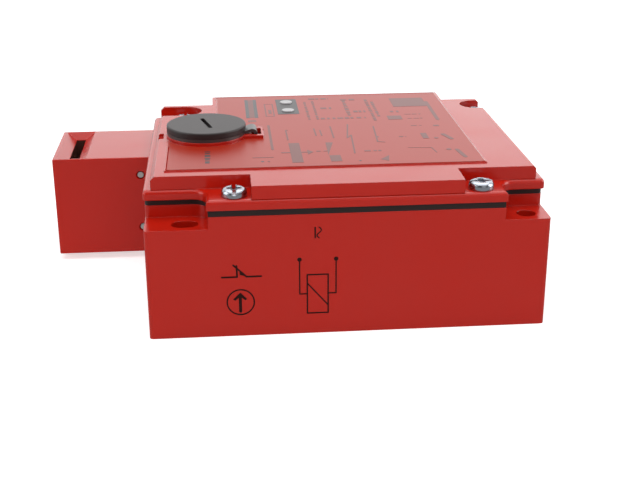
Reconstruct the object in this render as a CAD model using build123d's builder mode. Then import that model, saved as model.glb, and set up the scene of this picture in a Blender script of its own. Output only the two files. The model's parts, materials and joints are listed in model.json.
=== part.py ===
"""Solenoid guard-locking tongue interlock switch with a metal body and a turret head.

Frame: X runs from the head to the cable entries, Y across the body, Z up from the
mounting face to the cover.  The origin is the centre of the four fixing holes, on the
mounting face.  Sizes are in millimetres.
"""

from build123d import *
from math import cos, pi, radians, sin
import os

os.makedirs("parts", exist_ok=True)

# --- driving dimensions -------------------------------------------------------------

# fixing holes
fixing_pitch_x = 95.0
fixing_from_side = 5.0  # hole centres to the long faces
fixing_hole_d = 5.3
fixing_slot_length = 7.3
slot_inset = 11.0  # slot centres to the head-end face of the body
hole_inset = 6.0  # round holes to the cable-end face of the body

# base
body_width = 98.0
base_height = 35.6
ear_drop = 3.6  # ears' top below the base's rim
ear_x_head = 17.4
ear_x_cable = 13.0
ear_y = 11.1
ear_fillet = 4.5
edge_radius = 1.2
wall = 3.0
floor = 3.0

# cable entries, M20 x 1.5 drawn at the minor diameter
entry_d = 18.376
entry_boss_d = 26.4
entry_depth = 10.0
entry_pitch = 25.0
entry_z = 17.8

# gasket and cover
gasket_thickness = 1.8
gasket_inset = 0.05
cover_overhang = 0.4
notch_overhang = 0.9  # further over the ears' notches
flange_thickness = 2.8
flange_corner_r = 1.3
flange_edge_r = 1.2
plateau_height = 3.8
plateau_chamfer_head = 1.1
plateau_chamfer_cable = 0.7
plateau_inset_head = 1.9
plateau_inset_cable = 2.3
cover_roof = 2.5
shelf_y = 10.4
near_shelf_x_head = 29.3
near_shelf_x_cable = 24.7
far_shelf_x_head = 19.1
far_shelf_x_cable = 14.8
pocket_r_head = 5.5
pocket_r_cable = 5.0

# raised pads on the cover
label_pad_height = 0.3
label_pad_x_head = 5.6
label_pad_x_cable = 15.4
label_pad_near_y = 14.7
label_pad_far_y = 1.4
label_step_x = 20.4
label_step_y = 6.0
label_margin = 0.4
label_thickness = 0.15
boss_height = 1.4  # above the plateau
boss_r = 12.2
lug_reach = 17.2  # from the cap's axis
lug_width = 9.7
pry_pocket_length = 5.8
pry_pocket_width = 1.6
pry_pocket_depth = 1.0
pry_pocket_inset = 2.6
pry_pocket_y = 1.6

# cover screws, M3.5
screw_r = 1.72
screw_hole_r = 1.75
screw_clear_r = 2.1
screw_head_r = 3.5
screw_head_height = 2.3
screw_length = 11.0
screw_cross_length = 3.8
screw_cross_width = 1.5
screw_slot_width = 1.0
screw_slot_depth = 1.2
screw_rim_radius = 1.25
near_screw_from_side = 3.9
far_screw_from_side = 17.6
near_screw_from_head_end = 24.7
near_screw_from_cable_end = 19.4
far_screw_from_head_end = 10.1
far_screw_from_cable_end = 4.7
screw_boss_r = 4.6

# cap over the override
cap_from_head_end = 17.3
cap_r = 12.0
cap_disc_thickness = 1.85
cap_edge_radius = 0.5
cap_plug_r = 9.2
cap_plug_wall = 2.2
cap_plug_depth = 5.4
barrel_r = 12.0
barrel_bore_r = 9.5
barrel_depth = 6.0  # floor of the barrel below the plateau
barrel_floor = 2.0
coin_slot_length = 11.2
coin_slot_width = 1.3
coin_slot_depth = 1.2
coin_slot_angle = 104.0

# strap
strap_thickness = 0.9
strap_width = 6.0
strap_slot_start = 13.9  # from the cap's axis
strap_slot_end = 16.6
strap_slot_width = 6.8
strap_drop = 9.6  # tail below the boss top
strap_foot_width = 9.2
strap_gap = 0.05

# turret head
head_length = 31.8
head_width = 32.4
head_height = 32.0
head_bottom = 2.2
lane_from_side = 20.3  # line of the key wheel, plunger and contacts to the far face
lane_z = 19.5
neck_r = 10.8
neck_length = 7.0
neck_clearance = 0.1
pin_groove_r = 7.8
pin_groove_width = 2.2
pin_r = 0.95
pin_hole_r = 1.0
pin_counterbore_r = 1.35
pin_recess = 0.4
pin_offset = 8.8
pin_from_body = 4.4
seal_wire_r = 0.82

# key slots in the head
key_slot_width = 27.0
key_slot_gap = 3.0
funnel_width = 31.2
funnel_gap = 9.4
funnel_depth = 2.3
key_slot_offset = 6.5  # key's mid-plane from the wheel's axis
key_reach = 10.0  # how far past the wheel's axis the key may go

# key wheel and its cam
wheel_from_body = 19.3
wheel_r = 9.5
wheel_thickness = 7.0
wheel_clearance = 0.7
wheel_chamber_width = 10.0
axle_r = 2.0
axle_length = 28.0
running_gap = 0.03
plunger_travel = 3.5
wheel_turn = 60.0
cam_rest_r = 8.5
cam_lead_out = 18.0
cam_lead_in = 8.0
key_notch_width = 3.6
key_notch_bottom_r = 5.2
key_notch_angle = 140.0

# plunger
plunger_r = 3.0
nose_length = 6.5
nose_height = 2.0
nose_width = 4.8
nose_gap = 0.35
collar_r = 4.5
collar_start = 8.0  # from the body's head-end face
collar_end = 19.0
guide_r = 5.0
guide_flange_r = 5.7
guide_flange = 1.2
guide_running_gap = 0.04

# contact block
block_start = 32.0
block_end_gap = 1.6  # to the cable entries' bosses
block_bottom = 5.0
block_headroom = 5.6  # block's top below the base's rim
block_near = 15.0  # from the lane
block_far = 13.0
block_wall = 2.0
ear_size = 6.0
block_ear_thickness = 4.0
carrier_size = 8.0
carrier_gap = 0.3
carrier_end_gap = 4.0
first_pole = 14.2  # from the block's start
last_pole = 15.8  # from the block's end
pole_count = 3
pole_half = 4.5
bridge_thickness = 1.0
bridge_height = 4.4
bridge_length = 23.0
bridge_window = 5.0
bridge_offset = 1.2  # bridge's head-side face from the pole's centre, key out
rivet_r = 1.5
rivet_height = 0.5
contact_gap = 0.1
blade_thickness = 1.0
blade_width = 5.4
blade_from_lane = 6.7
pad_length = 7.0
spring_leaf = 0.3
bow_half = 3.2
return_spring_length = 6.0
return_spring_r = 2.9
return_spring_wire = 0.35

# small screws, M3
m3_r = 1.5
m3_hole_r = 1.55
m3_head_r = 2.75
m3_head_height = 2.0
m3_terminal_length = 7.0
m3_guide_length = 6.5
m3_post_grip = 4.0  # length in a post or block
post_r = 3.5

# guard lock
slide_thickness = 4.0
slide_half_width = 11.0
slide_gap = 0.3
slide_window_half = 8.0
slide_bar = 3.0
slide_window_far = 9.5
tongue_half = 4.0
bolt_half = 1.5
bolt_length = 6.0
bolt_gap = 0.2
lock_travel = 2.0
guide_plate = 1.5
guide_wall = 1.2
rotor_r = 4.0
rotor_turn = 90.0
rotor_cam_r = 4.5
rotor_cam_gap = 0.4
rotor_base_r = 4.2
rotor_spigot_r = 2.0
rotor_spigot_length = 2.8
rotor_drive_depth = 2.2
rotor_top_above_floor = 3.0
clip_thickness = 0.7
clip_r = 6.0

# solenoid
solenoid_end_gap = 1.4  # to the corner columns
solenoid_width = 27.6
solenoid_wall_gap = 0.5  # to the head-end wall
solenoid_gap = 0.6  # to the slide when the lock is drawn back
frame_plate = 2.0
bobbin_r = 10.8
coil_r = 10.2
bobbin_tube_r = 4.5
bobbin_bore_r = 3.3
bobbin_flange = 1.2
armature_r = 3.0
core_length = 5.5
lock_spring_length = 6.0
armature_neck_r = 1.5
tab_size = 7.0

# indicator lights
led_from_head_end = 43.9
led_from_side = (22.0, 11.4)
led_r = 1.5
led_height = 4.2
lens_r = 2.1
lens_hole_r = 2.15
lens_flange_r = 3.0
lens_flange = 1.2
board_thickness = 1.2
board_drop = 6.3  # board's top below the cover's roof
board_x = 14.0
board_y = 20.0
m2_r = 1.0
m2_head_r = 1.9
m2_head_height = 1.2
board_screw_grip = 3.0

# wiring space
strip_poles = 4
strip_pitch = 7.0
strip_depth = 11.0
strip_height = 11.0
strip_foot = 3.0
strip_screw_recess = 3.0
strip_wire_hole = 3.6
strip_ears = 12.0  # both ends together
strip_from_cable_end = 51.3
strip_from_side = 18.0
earth_from_cable_end = 16.3
earth_from_side = 20.0
earth_post_height = 5.0
earth_clamp_size = 8.0

# --- places worked out from the sizes -------------------------------------------------

x_head_end = -fixing_pitch_x / 2 - slot_inset
x_cable_end = fixing_pitch_x / 2 + hole_inset
body_length = x_cable_end - x_head_end
body_mid_x = (x_cable_end + x_head_end) / 2
half_width = body_width / 2
fixing_pitch_y = body_width - 2 * fixing_from_side
ear_height = base_height - ear_drop
lane_y = half_width - lane_from_side
gasket_top = base_height + gasket_thickness
shelf_z = gasket_top + flange_thickness
plateau_z = shelf_z + plateau_height
roof_z = plateau_z - cover_roof
label_z = plateau_z + label_pad_height
boss_z = plateau_z + boss_height
cap_x = x_head_end + cap_from_head_end
barrel_floor_z = plateau_z - barrel_depth

near_screw_y = -half_width + near_screw_from_side
far_screw_y = half_width - far_screw_from_side
cover_screw_places = (
    (x_head_end + near_screw_from_head_end, near_screw_y),
    (x_cable_end - near_screw_from_cable_end, near_screw_y),
    (x_head_end + far_screw_from_head_end, far_screw_y),
    (x_cable_end - far_screw_from_cable_end, far_screw_y),
)

far_screw_places = cover_screw_places[2:]

wheel_x = x_head_end - wheel_from_body
head_end_x = x_head_end - head_length
head_top = head_bottom + head_height
cam_rise = plunger_travel / radians(wheel_turn)
nose_tip_x = wheel_x + cam_rest_r + nose_gap

slide_z = lane_z - slide_thickness / 2
slide_top = lane_z + slide_thickness / 2
slide_near_y = -rotor_cam_r - rotor_cam_gap - slide_bar
slide_far_y = slide_window_far + slide_bar
bolt_tip_y = lane_y - collar_r - bolt_gap
guide_plate_top = slide_z - slide_gap
guide_plate_z = guide_plate_top - guide_plate
guide_screw_y = slide_far_y + m3_head_r + 0.75
rotor_rise = lock_travel / radians(rotor_turn)
solenoid_far_y = slide_near_y - lock_travel - solenoid_gap
solenoid_near_y = -half_width + ear_y + wall + solenoid_end_gap
solenoid_length = solenoid_far_y - solenoid_near_y

block_x = x_head_end + block_start
block_end_x = x_cable_end - entry_depth - ear_size - block_end_gap
block_length = block_end_x - block_x
block_top = base_height - block_headroom
pole_pitch = (block_length - first_pole - last_pole) / (pole_count - 1)
pole_x = [block_x + first_pole + pole_pitch * i for i in range(pole_count)]
pole_side = (-1, -1, 1)  # fixed contacts towards the head for the two breaking poles
carrier_start_x = block_x + block_wall + carrier_end_gap
carrier_end_x = block_end_x - block_wall - return_spring_length

led_x = x_head_end + led_from_head_end
led_y = [half_width - inset for inset in led_from_side]
strip_x = x_cable_end - strip_from_cable_end
strip_y = -half_width + strip_from_side
earth_x = x_cable_end - earth_from_cable_end
earth_y = -half_width + earth_from_side
board_top = roof_z - board_drop
board_mid_y = sum(led_y) / 2
board_screw_x = (led_x - board_x / 2 + 2.5, led_x + board_x / 2 - 2.5)


# --- helpers ----------------------------------------------------------------------------


def finish(piece, name):
    """Label a finished piece and write its STEP file."""
    piece.part.label = name
    export_step(piece.part, f"parts/{name}.step")


def body_outline(grow=0.0, corner_r=edge_radius, notch_grow=0.0):
    """Outline of the body above its four corner ears, grown outwards by grow."""
    with BuildSketch() as outline:
        with Locations((body_mid_x, 0)):
            Rectangle(body_length + 2 * grow, body_width + 2 * grow)
        for corner_x, ear_x in ((x_head_end, ear_x_head), (x_cable_end, ear_x_cable)):
            with Locations((corner_x, -half_width), (corner_x, half_width)):
                notch_y = ear_y - grow - notch_grow
                Rectangle(2 * (ear_x - grow), 2 * notch_y, mode=Mode.SUBTRACT)
        inner = outline.vertices().filter_by(
            lambda v: abs(v.Y) < half_width + grow - 1
            and x_head_end - grow + 1 < v.X < x_cable_end + grow - 1
        )
        fillet(inner, ear_fillet - grow)
        if grow > -1:
            outer = outline.vertices().filter_by(
                lambda v: abs(v.X - x_head_end + grow) < 0.01
                or abs(v.X - x_cable_end - grow) < 0.01
            )
            fillet(outer, corner_r)
    return outline.sketch


def plateau_outline(grow=0.0):
    """Outline of the cover's raised plateau, grown outwards by grow."""
    start_x = x_head_end + plateau_inset_head - grow
    end_x = x_cable_end - plateau_inset_cable + grow
    shelves = (
        (start_x, -1, x_head_end + near_shelf_x_head - grow),
        (end_x, -1, x_cable_end - near_shelf_x_cable + grow),
        (start_x, 1, x_head_end + far_shelf_x_head - grow),
        (end_x, 1, x_cable_end - far_shelf_x_cable + grow),
    )
    with BuildSketch() as outline:
        with Locations(((start_x + end_x) / 2, 0)):
            Rectangle(end_x - start_x, body_width + 2 * grow)
        for outer_x, side, inner_x in shelves:
            with Locations((outer_x, side * (half_width + grow))):
                Rectangle(2 * abs(inner_x - outer_x), 2 * shelf_y, mode=Mode.SUBTRACT)
    return outline.sketch


def screw_pocket(place, grow=0.0):
    """Plan of the round-ended pocket round a far cover screw, open to the nearer end."""
    x, y = place
    at_head = x < body_mid_x
    end_x = x_head_end - 2 if at_head else x_cable_end + 2
    pocket_r = (pocket_r_head if at_head else pocket_r_cable) + grow
    with BuildSketch() as pocket:
        with Locations((x, y)):
            Circle(pocket_r)
        with Locations(((x + end_x) / 2, y)):
            Rectangle(abs(end_x - x), 2 * pocket_r)
    return pocket.sketch


def label_area(inset=0.0):
    """Plan of the label's pad, stepped at its far corner beside the cap."""
    start_x = x_head_end + label_pad_x_head + inset
    end_x = x_cable_end - label_pad_x_cable - inset
    near_y = -half_width + label_pad_near_y + inset
    far_y = half_width - label_pad_far_y - inset
    with BuildSketch() as area:
        with Locations(((start_x + end_x) / 2, (near_y + far_y) / 2)):
            Rectangle(end_x - start_x, far_y - near_y)
        step_x = x_head_end + label_step_x + inset
        with Locations((start_x, far_y)):
            Rectangle(
                2 * (step_x - start_x), 2 * (far_y - label_step_y + inset), mode=Mode.SUBTRACT
            )
    return area.sketch


def boss_area(grow=0.0):
    """Plan of the raised boss round the cap, with its lug for the strap."""
    with BuildSketch() as area:
        with Locations((cap_x, 0)):
            Circle(boss_r + grow)
        with Locations((cap_x + (lug_reach + grow) / 2, 0)):
            Rectangle(lug_reach + grow, lug_width + 2 * grow)
    return area.sketch


def add_screw(x, y, seat_z, length, head_r=m3_head_r, head_height=m3_head_height, shank_r=m3_r):
    """Add a slotted pan-head screw, head up on seat_z, to the part being built."""
    with BuildSketch(Plane.XY.offset(seat_z - length)) as shank:
        with Locations((x, y)):
            Circle(shank_r)
    extrude(shank.sketch, amount=length)
    with BuildSketch(Plane.XY.offset(seat_z)) as head:
        with Locations((x, y)):
            Circle(head_r)
    extrude(head.sketch, amount=head_height, taper=8)
    with BuildSketch(Plane.XY.offset(seat_z + head_height)) as slot:
        with Locations((x, y)):
            Rectangle(2 * head_r + 1, head_r / 4)
    extrude(slot.sketch, amount=-head_height / 2, mode=Mode.SUBTRACT)


# --- casing -----------------------------------------------------------------------------

guide_screw_places = [(cap_x + side * slide_window_half, guide_screw_y) for side in (-1, 1)]
frame_x = x_head_end + wall + solenoid_wall_gap + solenoid_width / 2
tab_x = frame_x + solenoid_width / 2 + tab_size / 2
solenoid_screw_places = [
    (tab_x, solenoid_near_y + tab_size / 2 + 1),
    (tab_x, solenoid_far_y - tab_size / 2 - 1),
]
frame_z = lane_z - solenoid_width / 2
block_ear_places = (
    (block_x - ear_size / 2, lane_y + block_far - ear_size / 2),
    (block_end_x + ear_size / 2, lane_y - block_near + ear_size / 2),
)
strip_length = strip_poles * strip_pitch
strip_ear_places = [(strip_x + side * (strip_length / 2 + 3), strip_y) for side in (-1, 1)]
entry_places = (-entry_pitch, 0, entry_pitch)

with BuildPart() as housing_base:
    with BuildSketch():
        with Locations((body_mid_x, 0)):
            RectangleRounded(body_length, body_width, edge_radius)
    extrude(amount=ear_height)
    add(extrude(Plane.XY.offset(ear_height) * body_outline(), amount=base_height - ear_height))
    add(
        extrude(Plane.XY.offset(floor) * body_outline(-wall), amount=base_height),
        mode=Mode.SUBTRACT,
    )
    # bosses for the cover screws, full height except over the plunger and the entries
    for x, y in cover_screw_places:
        bottom = floor if y < 0 else lane_z + guide_flange_r + 0.5
        with BuildSketch(Plane.XY.offset(bottom)):
            with Locations((x, y)):
                Circle(screw_boss_r)
            wall_x = x_head_end + wall / 2 if x < body_mid_x else x_cable_end - wall / 2
            wall_y = -half_width + wall / 2 if y < 0 else y
            reach = screw_boss_r if y < 0 else abs(wall_x - x)
            with Locations((x if y < 0 else (x + wall_x) / 2, (y + wall_y) / 2)):
                Rectangle(
                    2 * screw_boss_r if y < 0 else reach,
                    abs(wall_y - y) if y < 0 else 2 * screw_boss_r,
                )
            add(body_outline(), mode=Mode.INTERSECT)
        extrude(amount=base_height - bottom)
    # posts that carry the inner assemblies
    for places, top in (
        (guide_screw_places, guide_plate_z),
        (solenoid_screw_places, frame_z),
        (block_ear_places, block_bottom),
        (strip_ear_places, block_bottom),
        ([(earth_x, earth_y)], floor + earth_post_height),
    ):
        with BuildSketch(Plane.XY.offset(floor / 2)):
            with Locations(*places):
                Circle(post_r)
        extrude(amount=top - floor / 2)
    # cable entry bosses
    with BuildSketch(Plane.YZ.offset(x_cable_end - entry_depth)):
        with Locations(*[(y, entry_z) for y in entry_places]):
            Circle(entry_boss_d / 2)
    extrude(amount=entry_depth - wall / 2)
    # turret neck
    with BuildSketch(Plane.YZ.offset(x_head_end)):
        with Locations((lane_y, lane_z)):
            Circle(neck_r)
    extrude(amount=-neck_length)
    with BuildSketch(Plane.YZ.offset(x_head_end - pin_from_body)):
        with Locations((lane_y, lane_z)):
            Circle(neck_r + 1)
            Circle(pin_groove_r, mode=Mode.SUBTRACT)
    extrude(amount=pin_groove_width / 2, both=True, mode=Mode.SUBTRACT)
    with BuildSketch(Plane.YZ.offset(x_head_end - 2 * seal_wire_r - 0.2)):
        with Locations((lane_y, lane_z)):
            Circle(neck_r + 1)
            Circle(neck_r - 2 * seal_wire_r, mode=Mode.SUBTRACT)
    extrude(amount=seal_wire_r + 0.1, both=True, mode=Mode.SUBTRACT)
    # bores and holes
    with BuildSketch(Plane.YZ.offset(x_head_end - neck_length)):
        with Locations((lane_y, lane_z)):
            Circle(guide_r + 0.02)
    extrude(amount=neck_length + wall, mode=Mode.SUBTRACT)
    with BuildSketch(Plane.YZ.offset(x_cable_end)):
        with Locations(*[(y, entry_z) for y in entry_places]):
            Circle(entry_d / 2)
    extrude(amount=-entry_depth, mode=Mode.SUBTRACT)
    with BuildSketch():
        with Locations(
            (fixing_pitch_x / 2, fixing_pitch_y / 2), (fixing_pitch_x / 2, -fixing_pitch_y / 2)
        ):
            Circle(fixing_hole_d / 2)
        with Locations(
            (-fixing_pitch_x / 2, fixing_pitch_y / 2), (-fixing_pitch_x / 2, -fixing_pitch_y / 2)
        ):
            SlotOverall(fixing_slot_length, fixing_hole_d)
    extrude(amount=base_height, mode=Mode.SUBTRACT)
    screw_hole_depth = screw_length - flange_thickness - gasket_thickness + 0.6
    with Locations(*[(x, y, base_height) for x, y in cover_screw_places]):
        Hole(screw_hole_r, depth=screw_hole_depth)
    for places, top in (
        (guide_screw_places, guide_plate_z),
        (solenoid_screw_places, frame_z),
        (block_ear_places, block_bottom),
        (strip_ear_places, block_bottom),
        ([(earth_x, earth_y)], floor + earth_post_height),
    ):
        with Locations(*[(x, y, top) for x, y in places]):
            Hole(m3_hole_r, depth=top - 1)
finish(housing_base, "housing_base")

with BuildPart() as cover_gasket:
    add(extrude(Plane.XY.offset(base_height) * body_outline(-gasket_inset), amount=gasket_thickness))
    add(
        extrude(Plane.XY.offset(base_height) * body_outline(-wall), amount=gasket_thickness),
        mode=Mode.SUBTRACT,
    )
    with BuildSketch(Plane.XY.offset(base_height)):
        with Locations(*cover_screw_places):
            Circle(screw_boss_r - 0.2)
        add(body_outline(-gasket_inset), mode=Mode.INTERSECT)
    extrude(amount=gasket_thickness)
    with BuildSketch(Plane.XY.offset(base_height)):
        with Locations(*cover_screw_places):
            Circle(screw_clear_r)
    extrude(amount=gasket_thickness, mode=Mode.SUBTRACT)
finish(cover_gasket, "cover_gasket")

with BuildPart() as cover:
    flange_outline = body_outline(cover_overhang, flange_corner_r, notch_overhang)
    add(extrude(Plane.XY.offset(gasket_top) * flange_outline, amount=flange_thickness))
    fillet(cover.faces().sort_by(Axis.Z)[-1].outer_wire().edges(), flange_edge_r)
    add(extrude(Plane.XY.offset(shelf_z) * plateau_outline(), amount=plateau_height))
    for toward_head, size in ((True, plateau_chamfer_head), (False, plateau_chamfer_cable)):
        end_edge = (
            cover.edges()
            .filter_by(Axis.Y)
            .filter_by(lambda e: abs(e.center().Z - plateau_z) < 0.01 and e.length > half_width)
            .sort_by(Axis.X)[0 if toward_head else -1]
        )
        chamfer(end_edge, size)
    # hollow underside, kept clear of the screw seats and the shelves
    with BuildSketch(Plane.XY.offset(gasket_top)):
        add(plateau_outline(-wall))
        for place in far_screw_places:
            add(screw_pocket(place, 2.0), mode=Mode.SUBTRACT)
    extrude(amount=roof_z - gasket_top, mode=Mode.SUBTRACT)
    # round-ended pockets in the plateau for the far screws
    for place in far_screw_places:
        pocket = screw_pocket(place)
        add(
            extrude(Plane.XY.offset(shelf_z) * pocket, amount=plateau_height + 1),
            mode=Mode.SUBTRACT,
        )
    # barrel for the cap, and the raised pads
    with BuildSketch(Plane.XY.offset(barrel_floor_z - barrel_floor)):
        with Locations((cap_x, 0)):
            Circle(barrel_r)
    extrude(amount=barrel_depth + barrel_floor)
    add(extrude(Plane.XY.offset(plateau_z) * label_area(), amount=label_pad_height))
    add(extrude(Plane.XY.offset(plateau_z) * boss_area(), amount=boss_height))
    with Locations((cap_x, 0, boss_z)):
        Hole(barrel_bore_r, depth=boss_z - barrel_floor_z)
        Hole(rotor_r + running_gap + 0.03)
    with BuildSketch(Plane.XY.offset(boss_z)):
        with Locations((cap_x + (strap_slot_start + strap_slot_end) / 2, 0)):
            Rectangle(strap_slot_end - strap_slot_start, strap_slot_width)
    extrude(amount=-(boss_z - roof_z), mode=Mode.SUBTRACT)
    # pocket beside the head-side edge for prising the cover off
    with BuildSketch(Plane.XY.offset(plateau_z)):
        with Locations((x_head_end + pry_pocket_inset + pry_pocket_width / 2, pry_pocket_y)):
            Rectangle(pry_pocket_width, pry_pocket_length)
    extrude(amount=-pry_pocket_depth, mode=Mode.SUBTRACT)
    # posts for the light board, holes for the lenses and the screws
    with BuildSketch(Plane.XY.offset(board_top)):
        with Locations(*[(x, board_mid_y) for x in board_screw_x]):
            Circle(2.2)
    extrude(amount=roof_z - board_top)
    with Locations(*[(x, board_mid_y, board_top) for x in board_screw_x]):
        with Locations(Rotation(180, 0, 0)):
            Hole(m2_r, depth=board_screw_grip + 1)
    with Locations(*[(led_x, y, label_z) for y in led_y]):
        Hole(lens_hole_r, depth=label_z - roof_z)
    with Locations(*[(x, y, shelf_z) for x, y in cover_screw_places]):
        Hole(screw_clear_r, depth=flange_thickness)
finish(cover, "cover")

with BuildPart() as cover_screws:
    with BuildSketch(Plane.XY.offset(shelf_z - screw_length)):
        with Locations(*cover_screw_places):
            Circle(screw_r)
    extrude(amount=screw_length)
    with BuildSketch(Plane.XY.offset(shelf_z)):
        with Locations(*cover_screw_places):
            Circle(screw_head_r)
    extrude(amount=screw_head_height)
    rims = cover_screws.edges().filter_by(GeomType.CIRCLE).filter_by(
        lambda e: abs(e.radius - screw_head_r) < 0.01 and e.center().Z > shelf_z + 1
    )
    fillet(rims, screw_rim_radius)
    for i, (x, y) in enumerate(cover_screw_places):
        with BuildSketch(Plane.XY.offset(shelf_z + screw_head_height)):
            with Locations(Location((x, y), 90 * (i + 1))):
                Rectangle(2 * screw_head_r + 1, screw_slot_width)
                Rectangle(screw_cross_length, screw_cross_width, rotation=90)
                Rectangle(screw_cross_length, screw_cross_width)
        extrude(amount=-screw_slot_depth, mode=Mode.SUBTRACT)
finish(cover_screws, "cover_screws")

with BuildPart() as label_plate:
    with BuildSketch(Plane.XY.offset(label_z)):
        add(label_area(label_margin))
        add(boss_area(label_margin), mode=Mode.SUBTRACT)
        with Locations(*[(led_x, y) for y in led_y]):
            Circle(lens_hole_r + 0.1, mode=Mode.SUBTRACT)
    extrude(amount=label_thickness)
finish(label_plate, "label_plate")

# --- indicator lights ---------------------------------------------------------------------

with BuildPart() as led_lenses:
    for y in led_y:
        with BuildSketch(Plane.XY.offset(roof_z - lens_flange)):
            with Locations((led_x, y)):
                Circle(lens_flange_r)
        extrude(amount=lens_flange)
        with BuildSketch(Plane.XY.offset(roof_z)):
            with Locations((led_x, y)):
                Circle(lens_r)
        extrude(amount=label_z + label_thickness + 0.4 - roof_z)
    tops = led_lenses.edges().group_by(Axis.Z)[-1]
    fillet(tops, 0.35)
finish(led_lenses, "led_lenses")

with BuildPart() as led_board:
    with BuildSketch(Plane.XY.offset(board_top - board_thickness)):
        with Locations((led_x, board_mid_y)):
            RectangleRounded(board_x, board_y, 1)
        with Locations(*[(x, board_mid_y) for x in board_screw_x]):
            Circle(m2_r + 0.1, mode=Mode.SUBTRACT)
    extrude(amount=board_thickness)
finish(led_board, "led_board")

with BuildPart() as indicator_leds:
    with BuildSketch(Plane.XY.offset(board_top)):
        with Locations(*[(led_x, y) for y in led_y]):
            Circle(led_r)
    extrude(amount=led_height)
    fillet(indicator_leds.edges().group_by(Axis.Z)[-1], led_r - 0.1)
finish(indicator_leds, "indicator_leds")

with BuildPart() as board_screws:
    for x in board_screw_x:
        with BuildSketch(Plane.XY.offset(board_top - board_thickness - m2_head_height)):
            with Locations((x, board_mid_y)):
                Circle(m2_head_r)
        extrude(amount=m2_head_height)
        with BuildSketch(Plane.XY.offset(board_top - board_thickness)):
            with Locations((x, board_mid_y)):
                Circle(m2_r - 0.02)
        extrude(amount=board_thickness + board_screw_grip)
finish(board_screws, "board_screws")

# --- cap, strap and override rotor ------------------------------------------------------------

ring_z = boss_z + strap_gap
disc_z = ring_z + strap_thickness + 2 * strap_gap
disc_top = disc_z + cap_disc_thickness
plug_bottom = disc_z - cap_plug_depth

with BuildPart() as screw_cap:
    with BuildSketch(Plane.XY.offset(disc_z)):
        with Locations((cap_x, 0)):
            Circle(cap_r)
    extrude(amount=cap_disc_thickness)
    fillet(screw_cap.edges().group_by(Axis.Z)[-1], cap_edge_radius)
    with BuildSketch(Plane.XY.offset(plug_bottom)):
        with Locations((cap_x, 0)):
            Circle(cap_plug_r)
    extrude(amount=cap_plug_depth)
    with BuildSketch(Plane.XY.offset(plug_bottom)):
        with Locations((cap_x, 0)):
            Circle(cap_plug_r - cap_plug_wall)
    extrude(amount=cap_plug_depth - 0.6, mode=Mode.SUBTRACT)
    with BuildSketch(Plane.XY.offset(plug_bottom + 0.6)):
        with Locations((cap_x, 0)):
            Circle(cap_plug_r + 0.5)
            Circle(cap_plug_r - 1.2, mode=Mode.SUBTRACT)
    extrude(amount=1.6, mode=Mode.SUBTRACT)
    with BuildSketch(Plane.XY.offset(disc_top)):
        with Locations(Location((cap_x, 0), coin_slot_angle)):
            Rectangle(coin_slot_length, coin_slot_width)
    extrude(amount=-coin_slot_depth, mode=Mode.SUBTRACT)
finish(screw_cap, "screw_cap")

with BuildPart() as cap_seal:
    with BuildSketch(Plane.XZ):
        with Locations((cap_x + cap_plug_r - 0.5, plug_bottom + 1.4)):
            Circle(0.7)
    revolve(axis=Axis((cap_x, 0, 0), (0, 0, 1)))
finish(cap_seal, "cap_seal")

tail_x = cap_x + strap_slot_start + 0.7
with BuildPart() as cap_strap:
    with BuildSketch(Plane.XY.offset(ring_z)):
        with Locations((cap_x, 0)):
            Circle(cap_r)
            Circle(cap_plug_r + 0.25, mode=Mode.SUBTRACT)
        with Locations((cap_x + cap_r - 0.7, 0)):
            Rectangle(1.6, strap_width)
    extrude(amount=strap_thickness)
    # arched link from the ring, over the boss and down through the slot in the lug
    with BuildSketch(Plane.XZ):
        with BuildLine():
            start = (cap_x + cap_r + 0.08, ring_z)
            drop = (tail_x, ring_z - 0.6)
            crest = ((start[0] + drop[0]) / 2, ring_z + 0.55)
            under = Spline(start, crest, drop, tangents=((1, 0.6), (0, -1)))
            low_left = Line(drop, (tail_x, boss_z - strap_drop))
            low = Line(low_left @ 1, (tail_x + strap_thickness, boss_z - strap_drop))
            up = Line(low @ 1, (tail_x + strap_thickness, ring_z - 0.6))
            over = Spline(
                up @ 1,
                (crest[0] + 0.2, crest[1] + strap_thickness),
                (start[0], ring_z + strap_thickness),
                tangents=((0, 1), (-1, -0.35)),
            )
            Line(over @ 1, start)
        make_face()
    extrude(amount=strap_width / 2, both=True)
    with BuildSketch(Plane.XY.offset(boss_z - strap_drop)):
        with Locations((tail_x + strap_thickness / 2, 0)):
            Rectangle(strap_thickness + 1, strap_foot_width)
    extrude(amount=strap_thickness)
finish(cap_strap, "cap_strap")


def rotor_cam_radius(angle):
    """Cam radius of the override rotor, angle in degrees before the slide's bar."""
    return rotor_cam_r + rotor_rise * radians(angle)


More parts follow.
